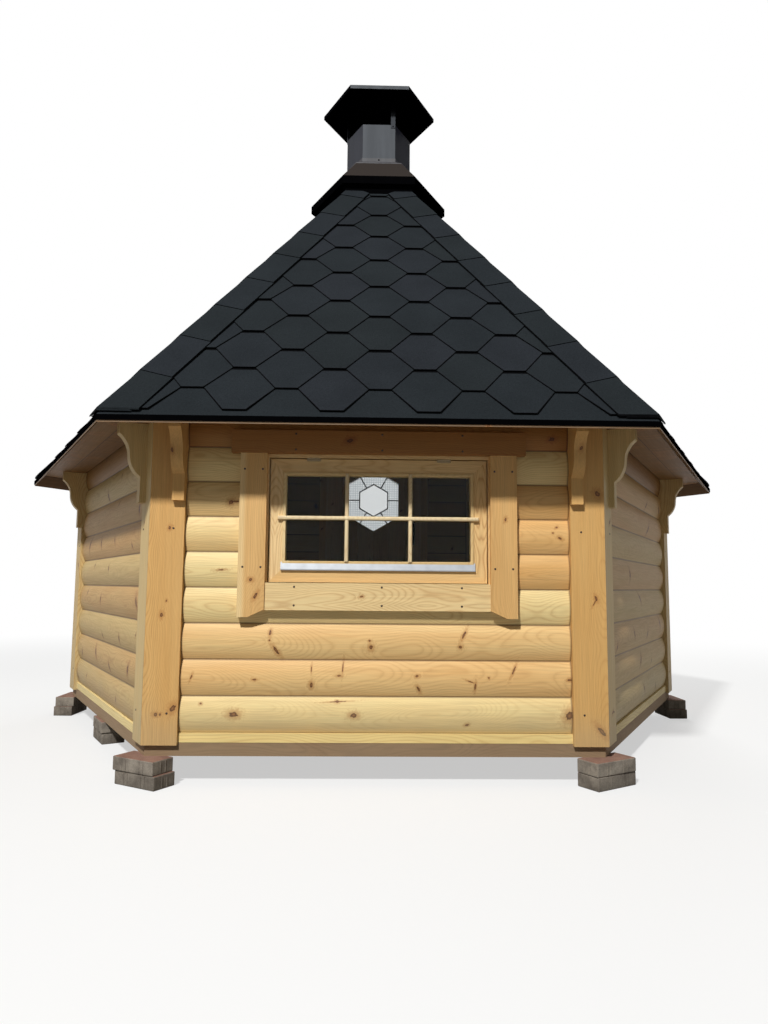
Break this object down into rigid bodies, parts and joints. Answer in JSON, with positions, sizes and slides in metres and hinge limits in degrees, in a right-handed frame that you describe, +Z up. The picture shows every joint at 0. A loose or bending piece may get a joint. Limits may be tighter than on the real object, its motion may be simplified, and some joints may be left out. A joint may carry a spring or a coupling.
{
  "type": "six-sided log cabin (barbecue hut)",
  "caption": "Six-sided pine log hut on paver piers, steep shingled roof with a metal chimney, a barred window and a hinged door under a small dormer.",
  "frame": {"origin": "on the ground under the middle of the hut, level with the undersides of the piers", "axes": "+X along the front wall to the right as seen from the front, +Y from the window wall to the door wall, +Z up"},
  "size_m": [3.9478, 3.419, 3.6514],
  "materials": {
    "paver_concrete": "weathered concrete",
    "treated_pine": "sawn, brown pressure-treated",
    "floor_pine": "planed boards",
    "log_pine": "planed pine logs, bare",
    "post_pine": "planed pine, bare",
    "trim_pine": "planed pine, bare",
    "soffit_pine": "planed spruce boards",
    "roof_deck": "boards under charcoal bitumen shingles",
    "black_steel": "black powder coat",
    "hinge_steel": "zinc plated",
    "mill_aluminium": "mill finish",
    "clear_glass": "clear float glass"
  },
  "bodies": {
    "root": {"paver_piers": "paver_concrete", "base_beams": "treated_pine", "floor_joists": "treated_pine", "floor_boards": "floor_pine", "sole_strips": "log_pine", "front_wall_low": "log_pine", "front_wall_beside_window": "log_pine", "front_wall_high": "log_pine", "front_right_wall": "log_pine", "back_right_wall": "log_pine", "back_left_wall": "log_pine", "front_left_wall": "log_pine", "back_wall_beside_door": "log_pine", "corner_posts": "post_pine", "eave_brackets": "post_pine", "roof_front": "roof_deck", "roof_front_right": "roof_deck", "roof_back_right": "roof_deck", "roof_back": "roof_deck", "roof_back_left": "roof_deck", "roof_front_left": "roof_deck", "soffit_boards": "soffit_pine", "drip_edges": "black_steel", "crown_upstand": "black_steel", "crown_hood": "black_steel", "chimney_flashing": "black_steel", "chimney_tube": "black_steel", "cap_straps": "black_steel", "chimney_cap": "black_steel", "window_frame": "trim_pine", "window_sash": "trim_pine", "window_glass": "clear_glass", "window_casings": "trim_pine", "window_drip_rail": "mill_aluminium", "window_hinges": "hinge_steel", "door_frame": "trim_pine", "door_threshold": "trim_pine", "door_casings": "trim_pine", "dormer_cheeks": "soffit_pine", "dormer_front": "trim_pine", "dormer_roof": "roof_deck", "hinge_pins": "hinge_steel"},
    "door": {"door_leaf": "trim_pine", "door_glass": "clear_glass", "door_beads": "trim_pine", "door_straps": "hinge_steel", "door_handles": "black_steel"}
  },
  "joints": [
    {"name": "door_hinge", "type": "hinge", "parent": "root", "child": "door", "pos_m": [-0.3725, 1.4879, 0.956], "axis": [0, 0, 1], "range_deg": [0, 100]}
  ]
}
